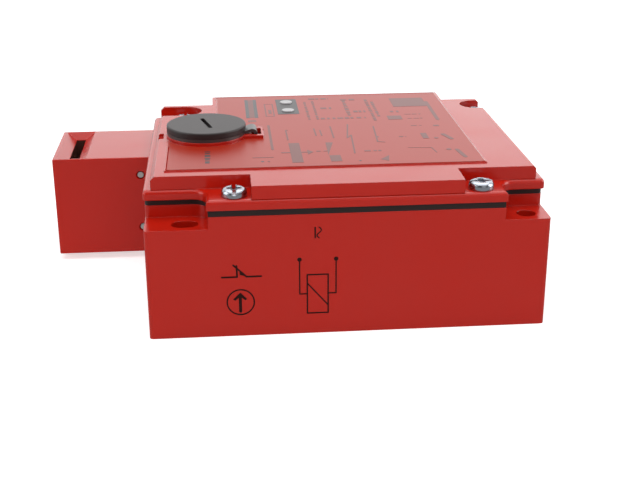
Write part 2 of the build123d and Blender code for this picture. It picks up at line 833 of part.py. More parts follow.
clip_z = barrel_floor_z + 0.25
rotor_top = barrel_floor_z + rotor_top_above_floor
with BuildPart() as override_rotor:
    with BuildSketch(Plane.XY.offset(slide_z - 0.1)):
        with Locations((cap_x, 0)):
            Circle(rotor_base_r)
        with BuildLine():
            # the lobe pushes towards -Y; the turn brings its larger radii round to the bar
            angles = [-12 + 19 * i for i in range(7)]
            points = [
                (
                    cap_x + rotor_cam_radius(a) * cos(radians(-90 - a)),
                    rotor_cam_radius(a) * sin(radians(-90 - a)),
                )
                for a in angles
            ]
            rise = Spline(*points)
            back = Line(rise @ 1, (cap_x, 0))
            Line(back @ 1, rise @ 0)
        make_face()
    extrude(amount=slide_thickness + 0.2)
    with BuildSketch(Plane.XY.offset(slide_z - 0.1 - rotor_spigot_length)):
        with Locations((cap_x, 0)):
            Circle(rotor_spigot_r)
    extrude(amount=rotor_spigot_length)
    with BuildSketch(Plane.XY.offset(slide_top)):
        with Locations((cap_x, 0)):
            Circle(rotor_r)
    extrude(amount=rotor_top - slide_top)
    for groove_z, groove_height, groove_r in (
        (clip_z - 0.05, clip_thickness + 0.1, rotor_r - 0.8),
        (barrel_floor_z - barrel_floor / 2 - 0.8, 1.6, rotor_r - 1.4),
    ):
        with BuildSketch(Plane.XY.offset(groove_z)):
            with Locations((cap_x, 0)):
                Circle(rotor_r + 1)
                Circle(groove_r, mode=Mode.SUBTRACT)
        extrude(amount=groove_height, mode=Mode.SUBTRACT)
    with BuildSketch(Plane.XY.offset(rotor_top)):
        with Locations((cap_x, 0)):
            RegularPolygon(2.8, 3)
    extrude(amount=-rotor_drive_depth, mode=Mode.SUBTRACT)
finish(override_rotor, "override_rotor")

with BuildPart() as rotor_clip:
    with BuildSketch(Plane.XY.offset(clip_z)):
        with Locations((cap_x, 0)):
            Circle(clip_r)
            Circle(rotor_r - 0.75, mode=Mode.SUBTRACT)
        with Locations((cap_x + clip_r, 0)):
            Rectangle(2 * clip_r, 2 * (rotor_r - 1.2), mode=Mode.SUBTRACT)
    extrude(amount=clip_thickness)
finish(rotor_clip, "rotor_clip")

with BuildPart() as rotor_seal:
    with BuildSketch(Plane.XZ):
        with Locations((cap_x + rotor_r - 0.68, barrel_floor_z - barrel_floor / 2)):
            Circle(0.7)
    revolve(axis=Axis((cap_x, 0, 0), (0, 0, 1)))
finish(rotor_seal, "rotor_seal")

# --- turret head ------------------------------------------------------------------------------

lane_plane = Plane.XZ.offset(-lane_y)  # x along the body, y up, on the mechanism's line
top_slot_x = wheel_x - key_slot_offset
end_slot_z = lane_z - key_slot_offset

with BuildPart() as head_housing:
    with BuildSketch(lane_plane):
        with Locations((x_head_end - head_length / 2, head_bottom + head_height / 2)):
            Rectangle(head_length, head_height)
    extrude(amount=head_width / 2, both=True)
    fillet(head_housing.edges(), 0.35)
    # wheel chamber
    with BuildSketch(lane_plane):
        with Locations((wheel_x, lane_z)):
            Circle(wheel_r + wheel_clearance)
    extrude(amount=wheel_chamber_width / 2, both=True, mode=Mode.SUBTRACT)
    # key slots from the top and from the end, each with its funnel
    with BuildSketch(Plane.XY.offset(lane_z - key_reach)):
        with Locations((top_slot_x, lane_y)):
            Rectangle(key_slot_gap, key_slot_width)
    extrude(amount=head_top - lane_z + key_reach, mode=Mode.SUBTRACT)
    with BuildSketch(Plane.YZ.offset(head_end_x)):
        with Locations((lane_y, end_slot_z)):
            Rectangle(key_slot_width, key_slot_gap)
    extrude(amount=wheel_x + key_reach - 2 - head_end_x, mode=Mode.SUBTRACT)
    with BuildSketch(Plane.XY.offset(head_top)):
        with Locations((top_slot_x, lane_y)):
            Rectangle(funnel_gap, funnel_width)
    with BuildSketch(Plane.XY.offset(head_top - funnel_depth)):
        with Locations((top_slot_x, lane_y)):
            Rectangle(key_slot_gap, key_slot_width)
    loft(mode=Mode.SUBTRACT)
    with BuildSketch(Plane.YZ.offset(head_end_x)):
        with Locations((lane_y, end_slot_z)):
            Rectangle(funnel_width, funnel_gap)
    with BuildSketch(Plane.YZ.offset(head_end_x + funnel_depth)):
        with Locations((lane_y, end_slot_z)):
            Rectangle(key_slot_width, key_slot_gap)
    loft(mode=Mode.SUBTRACT)
    # socket for the turret neck, passage for the plunger, bores for the axle and the pins
    with BuildSketch(Plane.YZ.offset(x_head_end)):
        with Locations((lane_y, lane_z)):
            Circle(neck_r + neck_clearance)
    extrude(amount=-neck_length - neck_clearance, mode=Mode.SUBTRACT)
    with BuildSketch(Plane.YZ.offset(x_head_end)):
        with Locations((lane_y, lane_z)):
            Circle(plunger_r + 1)
    extrude(amount=-(wheel_from_body - wheel_r), mode=Mode.SUBTRACT)
    with BuildSketch(lane_plane):
        with Locations((wheel_x, lane_z)):
            Circle(axle_r + 0.02)
    extrude(amount=axle_length / 2 + 0.2, both=True, mode=Mode.SUBTRACT)
    with BuildSketch(lane_plane):
        pin_x = x_head_end - pin_from_body
        with Locations((pin_x, lane_z - pin_offset), (pin_x, lane_z + pin_offset)):
            Circle(pin_hole_r)
    extrude(amount=head_width / 2, both=True, mode=Mode.SUBTRACT)
    for side in (-1, 1):
        with BuildSketch(lane_plane.offset(side * head_width / 2)):
            with Locations((pin_x, lane_z - pin_offset), (pin_x, lane_z + pin_offset)):
                Circle(pin_counterbore_r)
        extrude(amount=-side * (pin_recess + 0.5), mode=Mode.SUBTRACT)
finish(head_housing, "head_housing")

with BuildPart() as head_pins:
    with BuildSketch(lane_plane):
        with Locations((pin_x, lane_z - pin_offset), (pin_x, lane_z + pin_offset)):
            Circle(pin_r)
    extrude(amount=head_width / 2 - pin_recess, both=True)
finish(head_pins, "head_pins")

with BuildPart() as head_seal:
    seal_x = x_head_end - 2 * seal_wire_r - 0.2
    with BuildSketch(lane_plane):
        with Locations((seal_x, lane_z + neck_r - seal_wire_r + 0.04)):
            Circle(seal_wire_r)
    revolve(axis=Axis((seal_x, lane_y, lane_z), (1, 0, 0)))
finish(head_seal, "head_seal")


def cam_radius(angle):
    """Radius of the wheel's cam, angle in degrees up from the plunger's line at rest."""
    return cam_rest_r + cam_rise * radians(angle)


with BuildPart() as key_wheel:
    with BuildSketch(lane_plane):
        with Locations((wheel_x, lane_z)):
            Circle(wheel_r)
        # the cam: a spiral of constant rise, so the plunger follows at a fixed ratio
        with BuildLine():
            low = -wheel_turn - cam_lead_out
            angles = [low + (cam_lead_in - low) * i / 8 for i in range(9)]
            spiral = Spline(
                *[
                    (
                        wheel_x + cam_radius(a) * cos(radians(a)),
                        lane_z + cam_radius(a) * sin(radians(a)),
                    )
                    for a in angles
                ]
            )
            outer_r = wheel_r + 1
            outer_ends = [
                (wheel_x + outer_r * cos(radians(a)), lane_z + outer_r * sin(radians(a)))
                for a in (cam_lead_in, (low + cam_lead_in) / 2, low)
            ]
            Line(spiral @ 1, outer_ends[0])
            ThreePointArc(*outer_ends)
            Line(outer_ends[2], spiral @ 0)
        make_face(mode=Mode.SUBTRACT)
        # notches that the key's crossbar turns
        notch_depth = wheel_r + 1 - key_notch_bottom_r
        with Locations((wheel_x, lane_z)):
            with PolarLocations(
                key_notch_bottom_r + notch_depth / 2, 2, key_notch_angle, 90, endpoint=True
            ):
                Rectangle(notch_depth, key_notch_width, mode=Mode.SUBTRACT)
        with Locations((wheel_x, lane_z)):
            Circle(axle_r + running_gap, mode=Mode.SUBTRACT)
    extrude(amount=wheel_thickness / 2, both=True)
finish(key_wheel, "key_wheel")

with BuildPart() as wheel_axle:
    with BuildSketch(lane_plane):
        with Locations((wheel_x, lane_z)):
            Circle(axle_r)
    extrude(amount=axle_length / 2, both=True)
finish(wheel_axle, "wheel_axle")

# --- plunger --------------------------------------------------------------------------------------

rod_start_x = nose_tip_x + nose_length
collar_x = x_head_end + collar_start
collar_end_x = x_head_end + collar_end
spigot_length = 6.0

with BuildPart() as plunger:
    # blunt nose that rides on the cam
    with BuildSketch(lane_plane):
        with Locations((nose_tip_x + nose_height / 2, lane_z)):
            Circle(nose_height / 2)
        with Locations((nose_tip_x + (nose_height / 2 + nose_length + 1) / 2, lane_z)):
            Rectangle(nose_length + 1 - nose_height / 2, nose_height)
    extrude(amount=nose_width / 2, both=True)
    for start_x, end_x, radius in (
        (rod_start_x, carrier_start_x, plunger_r),
        (collar_x, collar_end_x, collar_r),
        (carrier_start_x, carrier_start_x + spigot_length, plunger_r - 1),
    ):
        with BuildSketch(Plane.YZ.offset(start_x)):
            with Locations((lane_y, lane_z)):
                Circle(radius)
        extrude(amount=end_x - start_x)
    collar_rims = plunger.edges().filter_by(GeomType.CIRCLE).filter_by(
        lambda e: abs(e.radius - collar_r) < 0.01 and e.center().X < collar_end_x - 1
    )
    chamfer(collar_rims, 0.4)
finish(plunger, "plunger")

with BuildPart() as plunger_guide:
    with BuildSketch(Plane.YZ.offset(x_head_end - neck_length)):
        with Locations((lane_y, lane_z)):
            Circle(guide_r)
    extrude(amount=neck_length + wall)
    with BuildSketch(Plane.YZ.offset(x_head_end + wall)):
        with Locations((lane_y, lane_z)):
            Circle(guide_flange_r)
    extrude(amount=guide_flange)
    with BuildSketch(Plane.YZ.offset(x_head_end - neck_length)):
        with Locations((lane_y, lane_z)):
            Circle(plunger_r + guide_running_gap)
    extrude(amount=neck_length + wall + guide_flange, mode=Mode.SUBTRACT)
finish(plunger_guide, "plunger_guide")

with BuildPart() as plunger_spring:
    coil_length = return_spring_length - 2 * return_spring_wire - 0.1
    spring_start = (carrier_end_x + return_spring_wire + 0.05, lane_y, lane_z)
    with BuildLine() as coil_path:
        Helix(coil_length / 4, coil_length, return_spring_r, spring_start, (1, 0, 0))
    with BuildSketch(Plane(origin=coil_path.line @ 0, z_dir=coil_path.line % 0)):
        Circle(return_spring_wire)
    sweep(is_frenet=True)
finish(plunger_spring, "plunger_spring")

# --- contact block ------------------------------------------------------------------------------

block_mid_y = lane_y + (block_far - block_near) / 2
block_width = block_near + block_far
carrier_z = lane_z - carrier_size / 2
contact_y = blade_from_lane + blade_width / 2

with BuildPart() as contact_block:
    with BuildSketch(Plane.XY.offset(block_bottom)):
        with Locations((block_x + block_length / 2, block_mid_y)):
            RectangleRounded(block_length, block_width, 1)
    extrude(amount=block_top - block_bottom)
    with BuildSketch(Plane.XY.offset(block_bottom)):
        with Locations((block_ear_places[0][0] + 1, block_ear_places[0][1])):
            Rectangle(ear_size + 2, ear_size)
        with Locations((block_ear_places[1][0] - 1, block_ear_places[1][1])):
            Rectangle(ear_size + 2, ear_size)
    extrude(amount=block_ear_thickness)
    # channel for the carrier and a cross slot for each pole
    channel_width = carrier_size + 2 * carrier_gap
    with BuildSketch(Plane.XY.offset(carrier_z - carrier_gap)):
        with Locations((block_x + block_length / 2, lane_y)):
            Rectangle(block_length - 2 * block_wall, channel_width)
        with Locations(*[(x, lane_y) for x in pole_x]):
            Rectangle(2 * pole_half, bridge_length + 1.6)
    extrude(amount=block_top - carrier_z + carrier_gap, mode=Mode.SUBTRACT)
    # open slot in the head-side wall for the plunger
    with BuildSketch(Plane.YZ.offset(block_x)):
        with Locations((lane_y, lane_z)):
            Circle(plunger_r + 0.3)
        with Locations((lane_y, (lane_z + block_top) / 2)):
            Rectangle(2 * (plunger_r + 0.3), block_top - lane_z)
    extrude(amount=block_wall, mode=Mode.SUBTRACT)
    for x, side in zip(pole_x, pole_side):
        screw_x = x + side * (pole_half + pad_length / 2 - 0.5)
        with Locations(
            (screw_x, lane_y - contact_y, block_top), (screw_x, lane_y + contact_y, block_top)
        ):
            Hole(m3_hole_r, depth=m3_terminal_length)
    with Locations(*[(x, y, block_bottom + block_ear_thickness) for x, y in block_ear_places]):
        Hole(m3_hole_r + 0.1, depth=block_ear_thickness)
finish(contact_block, "contact_block")

with BuildPart() as contact_carrier:
    with BuildSketch(Plane.XY.offset(carrier_z)):
        with Locations(((carrier_start_x + carrier_end_x) / 2, lane_y)):
            Rectangle(carrier_end_x - carrier_start_x, carrier_size)
    extrude(amount=carrier_size)
    for x, side in zip(pole_x, pole_side):
        bridge_x = x + bridge_offset
        window_start = bridge_x - 0.05 if side < 0 else bridge_x + 1.05 - bridge_window
        with BuildSketch(lane_plane):
            with Locations((window_start + bridge_window / 2, lane_z)):
                Rectangle(bridge_window, bridge_height + 0.4)
        extrude(amount=carrier_size, both=True, mode=Mode.SUBTRACT)
    with BuildSketch(Plane.YZ.offset(carrier_start_x)):
        with Locations((lane_y, lane_z)):
            Circle(plunger_r - 1 + 0.02)
    extrude(amount=spigot_length + 0.2, mode=Mode.SUBTRACT)
finish(contact_carrier, "contact_carrier")

with BuildPart() as moving_bridges:
    for x, side in zip(pole_x, pole_side):
        bridge_x = x + bridge_offset
        with BuildSketch(lane_plane):
            with Locations((bridge_x + bridge_thickness / 2, lane_z)):
                Rectangle(bridge_thickness, bridge_height)
        extrude(amount=bridge_length / 2, both=True)
        face_x = bridge_x if side < 0 else bridge_x + bridge_thickness
        with BuildSketch(Plane.YZ.offset(face_x)):
            with Locations((lane_y - contact_y, lane_z), (lane_y + contact_y, lane_z)):
                Circle(rivet_r)
        extrude(amount=side * rivet_height)
finish(moving_bridges, "moving_bridges")

with BuildPart() as bridge_springs:
    for x, side in zip(pole_x, pole_side):
        bridge_x = x + bridge_offset
        near_x = bridge_x + bridge_thickness + 0.05 if side < 0 else bridge_x - 0.05
        far_x = near_x - side * (bridge_window - bridge_thickness - 0.2)
        with BuildSketch(Plane.XY.offset(lane_z - bridge_height / 2 + 0.4)):
            with BuildLine():
                bow_low = lane_y - bow_half
                bow_high = lane_y + bow_half
                bow = ThreePointArc((far_x, bow_low), (near_x, lane_y), (far_x, bow_high))
                inner = ThreePointArc(
                    (far_x, bow_high - 1.2 * spring_leaf),
                    (near_x - side * spring_leaf, lane_y),
                    (far_x, bow_low + 1.2 * spring_leaf),
                )
                Line(bow @ 1, inner @ 0)
                Line(inner @ 1, bow @ 0)
            make_face()
        extrude(amount=bridge_height - 0.8)
finish(bridge_springs, "bridge_springs")

with BuildPart() as fixed_contacts:
    for x, side in zip(pole_x, pole_side):
        blade_x = x + side * (pole_half - blade_thickness / 2)
        bridge_x = x + bridge_offset
        open_face = bridge_x - plunger_travel if side < 0 else bridge_x + bridge_thickness
        rivet_face = open_face + side * (rivet_height + contact_gap)
        blade_face = x + side * (pole_half - blade_thickness)
        for y in (lane_y - contact_y, lane_y + contact_y):
            with BuildSketch(Plane.XY.offset(lane_z - rivet_r - 0.8)):
                with Locations((blade_x, y)):
                    Rectangle(blade_thickness, blade_width)
            extrude(amount=block_top - lane_z + rivet_r + 0.8)
            with BuildSketch(Plane.XY.offset(block_top)):
                with Locations((x + side * (pole_half - 1 + pad_length / 2), y)):
                    Rectangle(pad_length, blade_width)
                with Locations((x + side * (pole_half + pad_length / 2 - 0.5), y)):
                    Circle(m3_hole_r + 0.1, mode=Mode.SUBTRACT)
            extrude(amount=blade_thickness)
            with BuildSketch(Plane.YZ.offset(blade_face)):
                with Locations((y, lane_z)):
                    Circle(rivet_r)
            extrude(amount=rivet_face - blade_face)
finish(fixed_contacts, "fixed_contacts")

with BuildPart() as terminal_screws:
    for x, side in zip(pole_x, pole_side):
        for y in (lane_y - contact_y, lane_y + contact_y):
            screw_x = x + side * (pole_half + pad_length / 2 - 0.5)
            add_screw(screw_x, y, block_top + blade_thickness, m3_terminal_length)
finish(terminal_screws, "terminal_screws")

with BuildPart() as contact_block_screws:
    for x, y in block_ear_places:
        add_screw(x, y, block_bottom + block_ear_thickness, block_ear_thickness + m3_post_grip)
finish(contact_block_screws, "contact_block_screws")

# --- guard lock ---------------------------------------------------------------------------------

with BuildPart() as lock_slide:
    with BuildSketch(Plane.XY.offset(slide_z)):
        with Locations((cap_x, (slide_near_y + slide_far_y) / 2)):
            Rectangle(2 * slide_half_width, slide_far_y - slide_near_y)
        window_near = slide_near_y + slide_bar
        with Locations((cap_x, (window_near + slide_window_far) / 2)):
            Rectangle(
                2 * slide_window_half, slide_window_far - window_near, mode=Mode.SUBTRACT
            )
        tongue_end = bolt_tip_y - bolt_length
        with Locations((cap_x, (slide_far_y + tongue_end) / 2)):
            Rectangle(2 * tongue_half, tongue_end - slide_far_y)
        with Locations((cap_x, (tongue_end + bolt_tip_y) / 2)):
            Rectangle(2 * bolt_half, bolt_length)
    extrude(amount=slide_thickness)
    with BuildSketch(Plane.XZ.offset(-slide_near_y)):
        with Locations((cap_x, lane_z)):
            Circle(armature_neck_r + 0.02)
    extrude(amount=-slide_bar, mode=Mode.SUBTRACT)
finish(lock_slide, "lock_slide")

guide_half = slide_half_width + slide_gap + guide_wall
guide_far_y = guide_screw_y + m3_head_r + 1
with BuildPart() as lock_guide:
    with BuildSketch(Plane.XY.offset(guide_plate_z)):
        with Locations((cap_x, (slide_near_y + guide_far_y) / 2)):
            Rectangle(2 * guide_half, guide_far_y - slide_near_y)
    extrude(amount=guide_plate)
    with BuildSketch(Plane.XY.offset(guide_plate_z)):
        for side in (-1, 1):
            with Locations(
                (cap_x + side * (guide_half - guide_wall / 2), (slide_near_y + slide_far_y) / 2)
            ):
                Rectangle(guide_wall, slide_far_y - slide_near_y)
    extrude(amount=slide_top + 1 - guide_plate_z)
    with Locations((cap_x, 0, guide_plate_top)):
        Hole(rotor_spigot_r + running_gap + 0.02, depth=guide_plate)
    with Locations(*[(x, y, guide_plate_top) for x, y in guide_screw_places]):
        Hole(m3_hole_r, depth=guide_plate)
finish(lock_guide, "lock_guide")

with BuildPart() as guide_screws:
    for x, y in guide_screw_places:
        add_screw(x, y, guide_plate_top, m3_guide_length)
finish(guide_screws, "guide_screws")

with BuildPart() as solenoid_frame:
    # a U of folded plate with its base on the casing's posts
    with BuildSketch(Plane.XY.offset(frame_z)):
        with Locations((frame_x, (solenoid_near_y + solenoid_far_y) / 2)):
            Rectangle(solenoid_width, solenoid_length)
        with Locations(*solenoid_screw_places):
            Rectangle(tab_size + 1, tab_size)
        with Locations(*solenoid_screw_places):
            Circle(m3_hole_r, mode=Mode.SUBTRACT)
    extrude(amount=frame_plate)
    for y in (solenoid_near_y, solenoid_far_y - frame_plate):
        with BuildSketch(Plane.XZ.offset(-y)):
            with Locations((frame_x, lane_z)):
                Rectangle(solenoid_width, solenoid_width)
            with Locations((cap_x, lane_z)):
                Circle(bobbin_bore_r, mode=Mode.SUBTRACT)
        extrude(amount=-frame_plate)
finish(solenoid_frame, "solenoid_frame")

coil_axis_plane = Plane.XZ.offset(-(solenoid_near_y + frame_plate))
inner_length = solenoid_length - 2 * frame_plate
with BuildPart() as solenoid_bobbin:
    with BuildSketch(coil_axis_plane):
        with Locations((cap_x, lane_z)):
            Circle(bobbin_tube_r)
    extrude(amount=-inner_length)
    for start in (0, inner_length - bobbin_flange):
        with BuildSketch(Plane.XZ.offset(-(solenoid_near_y + frame_plate + start))):
            with Locations((cap_x, lane_z)):
                Circle(bobbin_r)
        extrude(amount=-bobbin_flange)
    with BuildSketch(coil_axis_plane):
        with Locations((cap_x, lane_z)):
            Circle(bobbin_bore_r)
    extrude(amount=-inner_length, mode=Mode.SUBTRACT)
finish(solenoid_bobbin, "solenoid_bobbin")

with BuildPart() as solenoid_coil:
    with BuildSketch(Plane.XZ.offset(-(solenoid_near_y + frame_plate + bobbin_flange))):
        with Locations((cap_x, lane_z)):
            Circle(coil_r)
            Circle(bobbin_tube_r, mode=Mode.SUBTRACT)
    extrude(amount=-(inner_length - 2 * bobbin_flange))
finish(solenoid_coil, "solenoid_coil")

with BuildPart() as solenoid_core:
    with BuildSketch(Plane.XZ.offset(-solenoid_near_y)):
        with Locations((cap_x, lane_z)):
            Circle(bobbin_bore_r - 0.02)
    extrude(amount=-core_length)
finish(solenoid_core, "solenoid_core")

armature_start_y = solenoid_near_y + core_length + lock_spring_length
with BuildPart() as solenoid_armature:
    with BuildSketch(Plane.XZ.offset(-armature_start_y)):
        with Locations((cap_x, lane_z)):
            Circle(armature_r)
    extrude(amount=-(slide_near_y - armature_start_y))
    with BuildSketch(Plane.XZ.offset(-slide_near_y)):
        with Locations((cap_x, lane_z)):
            Circle(armature_neck_r)
    extrude(amount=-slide_bar)
finish(solenoid_armature, "solenoid_armature")

with BuildPart() as lock_spring:
    spring_wire = 0.3
    spring_radius = armature_r - 0.5
    coil_length = lock_spring_length - 2 * spring_wire - 0.1
    spring_start = (cap_x, solenoid_near_y + core_length + spring_wire + 0.05, lane_z)
    with BuildLine() as coil_path:
        Helix(coil_length / 4, coil_length, spring_radius, spring_start, (0, 1, 0))
    with BuildSketch(Plane(origin=coil_path.line @ 0, z_dir=coil_path.line % 0)):
        Circle(spring_wire)
    sweep(is_frenet=True)
finish(lock_spring, "lock_spring")

with BuildPart() as solenoid_screws:
    for x, y in solenoid_screw_places:
        add_screw(x, y, frame_z + frame_plate, frame_plate + m3_post_grip - 1)
finish(solenoid_screws, "solenoid_screws")

# --- wiring space ---------------------------------------------------------------------------------

strip_places = [
    (strip_x + strip_pitch * (i - (strip_poles - 1) / 2), strip_y) for i in range(strip_poles)
]
with BuildPart() as supply_terminals:
    with BuildSketch(Plane.XY.offset(block_bottom)):
        with Locations((strip_x, strip_y)):
            Rectangle(strip_length, strip_depth)
            Rectangle(strip_length + strip_ears, ear_size)
        with Locations(*strip_ear_places):
            Circle(m3_hole_r + 0.1, mode=Mode.SUBTRACT)
    extrude(amount=strip_foot)
    with BuildSketch(Plane.XY.offset(block_bottom)):
        with Locations((strip_x, strip_y)):
            Rectangle(strip_length, strip_depth)
    extrude(amount=strip_height)
    with Locations(*[(x, y, block_bottom + strip_height) for x, y in strip_places]):
        CounterBoreHole(
            m3_hole_r, m3_head_r + 0.2, strip_screw_recess, depth=2 * strip_screw_recess
        )
    with BuildSketch(Plane.XZ.offset(-(strip_y - strip_depth / 2))):
        with Locations(*[(x, block_bottom + strip_foot + 1) for x, y in strip_places]):
            Rectangle(strip_wire_hole, strip_wire_hole)
    extrude(amount=-strip_depth, mode=Mode.SUBTRACT)
finish(supply_terminals, "supply_terminals")

with BuildPart() as supply_terminal_screws:
    for x, y in strip_places:
        add_screw(x, y, block_bottom + strip_height - strip_screw_recess, strip_screw_recess)
    for x, y in strip_ear_places:
        add_screw(x, y, block_bottom + strip_foot, strip_foot + m3_post_grip - 1)
finish(supply_terminal_screws, "supply_terminal_screws")

with BuildPart() as earth_clamp:
    with BuildSketch(Plane.XY.offset(floor + earth_post_height)):
        with Locations((earth_x, earth_y)):
            Rectangle(earth_clamp_size, earth_clamp_size)
            Circle(m3_hole_r + 0.1, mode=Mode.SUBTRACT)
    extrude(amount=1)
finish(earth_clamp, "earth_clamp")

with BuildPart() as earth_screw:
    add_screw(earth_x, earth_y, floor + earth_post_height + 1, m3_post_grip + 1)
finish(earth_screw, "earth_screw")
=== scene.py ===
"""Looks for the tongue interlock switch: enamel, rubber, plated steel, printed marks, light and camera."""

import json
import math
import random

import bmesh
import bpy
from mathutils import Matrix, Vector


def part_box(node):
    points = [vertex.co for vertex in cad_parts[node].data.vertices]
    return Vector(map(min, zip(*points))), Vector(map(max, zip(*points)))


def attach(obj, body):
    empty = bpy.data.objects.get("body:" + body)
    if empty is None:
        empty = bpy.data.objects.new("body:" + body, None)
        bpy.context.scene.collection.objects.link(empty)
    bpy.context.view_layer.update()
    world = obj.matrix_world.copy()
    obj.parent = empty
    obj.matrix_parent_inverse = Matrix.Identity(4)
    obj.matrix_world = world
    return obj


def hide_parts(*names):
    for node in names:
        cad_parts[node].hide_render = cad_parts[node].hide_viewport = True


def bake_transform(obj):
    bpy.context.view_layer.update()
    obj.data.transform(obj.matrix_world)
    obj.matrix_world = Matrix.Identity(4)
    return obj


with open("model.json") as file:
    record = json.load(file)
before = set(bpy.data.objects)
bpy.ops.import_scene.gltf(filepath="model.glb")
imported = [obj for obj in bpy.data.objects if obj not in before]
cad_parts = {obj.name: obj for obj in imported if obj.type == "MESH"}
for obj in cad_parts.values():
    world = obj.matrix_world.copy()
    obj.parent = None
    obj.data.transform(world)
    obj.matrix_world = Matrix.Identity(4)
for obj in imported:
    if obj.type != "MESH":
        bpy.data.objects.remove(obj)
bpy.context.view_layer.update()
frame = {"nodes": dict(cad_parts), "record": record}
nodes = frame["nodes"]

MM = 0.001
PRINT_X0 = -58.3  # the printed marks' u runs from here, by the body's head end, mm
NEAR_FACE = round(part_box("housing_base")[0][1] / MM, 3)
LABEL_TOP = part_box("label_plate")[1][2] / MM
FLOOR_DROP = 0.02  # mm below the mounting face


# --- materials ------------------------------------------------------------------------------


def new_material(name, color, roughness, metallic=0.0, ior=1.45, coat=0.0, coat_roughness=0.1):
    """A Principled material with its constants on the shader's own sockets."""
    mat = bpy.data.materials.new(name)
    mat.use_nodes = True
    shader = mat.node_tree.nodes["Principled BSDF"]
    shader.inputs["Base Color"].default_value = (*color, 1)
    shader.inputs["Roughness"].default_value = roughness
    shader.inputs["Metallic"].default_value = metallic
    shader.inputs["IOR"].default_value = ior
    shader.inputs["Coat Weight"].default_value = coat
    shader.inputs["Coat Roughness"].default_value = coat_roughness
    return mat


def link_noise_bump(mat, scale, strength, distance, detail=3.0):
    """Fine unevenness of the surface, in object coordinates."""
    tree = mat.node_tree
    shader = tree.nodes["Principled BSDF"]
    coords = tree.nodes.new("ShaderNodeTexCoord")
    noise = tree.nodes.new("ShaderNodeTexNoise")
    noise.inputs["Scale"].default_value = scale
    noise.inputs["Detail"].default_value = detail
    bump = tree.nodes.new("ShaderNodeBump")
    bump.inputs["Strength"].default_value = strength
    bump.inputs["Distance"].default_value = distance
    tree.links.new(coords.outputs["Object"], noise.inputs["Vector"])
    tree.links.new(noise.outputs["Fac"], bump.inputs["Height"])
    tree.links.new(bump.outputs["Normal"], shader.inputs["Normal"])


def soften_edges(mat, radius, samples=6):
    """Rounds the shading over sharp edges, as cast, enamelled and pressed edges are rounded."""
    tree = mat.node_tree
    bevel = tree.nodes.new("ShaderNodeBevel")
    bevel.samples = samples
    bevel.inputs["Radius"].default_value = radius
    bump = next((n for n in tree.nodes if n.bl_idname == "ShaderNodeBump"), None)
    end = bump or tree.nodes["Principled BSDF"]
    tree.links.new(bevel.outputs["Normal"], end.inputs["Normal"])


def link_roughness_range(mat, low, high, scale):
    """Roughness that wanders between two values, as handled and dusted surfaces do."""
    tree = mat.node_tree
    shader = tree.nodes["Principled BSDF"]
    coords = tree.nodes.new("ShaderNodeTexCoord")
    noise = tree.nodes.new("ShaderNodeTexNoise")
    noise.inputs["Scale"].default_value = scale
    spread = tree.nodes.new("ShaderNodeMapRange")
    spread.inputs["From Min"].default_value = 0.3  # most of the noise lies between these two
    spread.inputs["From Max"].default_value = 0.7
    spread.inputs["To Min"].default_value = low
    spread.inputs["To Max"].default_value = high
    tree.links.new(coords.outputs["Object"], noise.inputs["Vector"])
    tree.links.new(noise.outputs["Fac"], spread.inputs["Value"])
    tree.links.new(spread.outputs["Result"], shader.inputs["Roughness"])


def paint_shade_inside(mat, low, high, color):
    """Another colour within a box, corners in metres: painted shade over the hollow inside of a casting.
    """
    tree = mat.node_tree
    shader = tree.nodes["Principled BSDF"]
    coords = tree.nodes.new("ShaderNodeTexCoord")
    split = tree.nodes.new("ShaderNodeSeparateXYZ")
    tree.links.new(coords.outputs["Object"], split.inputs[0])
    inside = None
    for axis in range(3):
        near_middle = tree.nodes.new("ShaderNodeMath")
        near_middle.operation = "COMPARE"
        near_middle.inputs[1].default_value = (low[axis] + high[axis]) / 2
        near_middle.inputs[2].default_value = (high[axis] - low[axis]) / 2
        tree.links.new(split.outputs[axis], near_middle.inputs[0])
        if inside is None:
            inside = near_middle.outputs[0]
            continue
        both = tree.nodes.new("ShaderNodeMath")
        both.operation = "MULTIPLY"
        tree.links.new(inside, both.inputs[0])
        tree.links.new(near_middle.outputs[0], both.inputs[1])
        inside = both.outputs[0]
    mix = tree.nodes.new("ShaderNodeMix")
    mix.data_type = "RGBA"
    mix.inputs["A"].default_value = shader.inputs["Base Color"].default_value
    mix.inputs["B"].default_value = (*color, 1)
    tree.links.new(inside, mix.inputs["Factor"])
    tree.links.new(mix.outputs["Result"], shader.inputs["Base Color"])


enamel = new_material("red_enamel", (0.56, 0.013, 0.004), 0.2, ior=1.42)
link_noise_bump(enamel, 900, 0.05, 0.0002)
soften_edges(enamel, 0.0004)
link_roughness_range(enamel, 0.16, 0.26, 60)
head_enamel_painted_shade = enamel.copy()
head_enamel_painted_shade.name = "head_enamel_painted_shade"
head_low, head_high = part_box("head_housing")
funnel = 2.4 * MM  # the key slots' funnels keep the plain enamel to this depth; deeper in, painted shade darkens it
# painted shade: a dark brown-red over the head's inside, where its key slots lie in shade
paint_shade_inside(
    head_enamel_painted_shade,
    [value + funnel for value in head_low],
    [value - funnel for value in head_high],
    (0.10, 0.034, 0.026),
)
film = new_material("label_film", (0.43, 0.024, 0.007), 0.34, ior=1.31)
rubber = new_material("seal_rubber", (0.026, 0.012, 0.011), 0.6, ior=1.38)
cap_plastic = new_material("cap_plastic", (0.026, 0.020, 0.020), 0.46, ior=1.38)
link_noise_bump(cap_plastic, 1400, 0.08, 0.0002)
strap_plastic = new_material("strap_plastic", (0.05, 0.045, 0.045), 0.34, ior=1.55)
zinc = new_material("zinc_plate", (0.35, 0.37, 0.41), 0.16, metallic=1.0)
link_roughness_range(zinc, 0.10, 0.26, 700)
pan_head_zinc = zinc.copy()  # with the rounded rim that a pressed head has
pan_head_zinc.name = "pan_head_zinc"
soften_edges(pan_head_zinc, 0.0007, samples=8)
steel = new_material("ground_steel", (0.56, 0.55, 0.53), 0.3, metallic=1.0)
spring_wire = new_material("spring_wire", (0.42, 0.41, 0.40), 0.3, metallic=1.0)
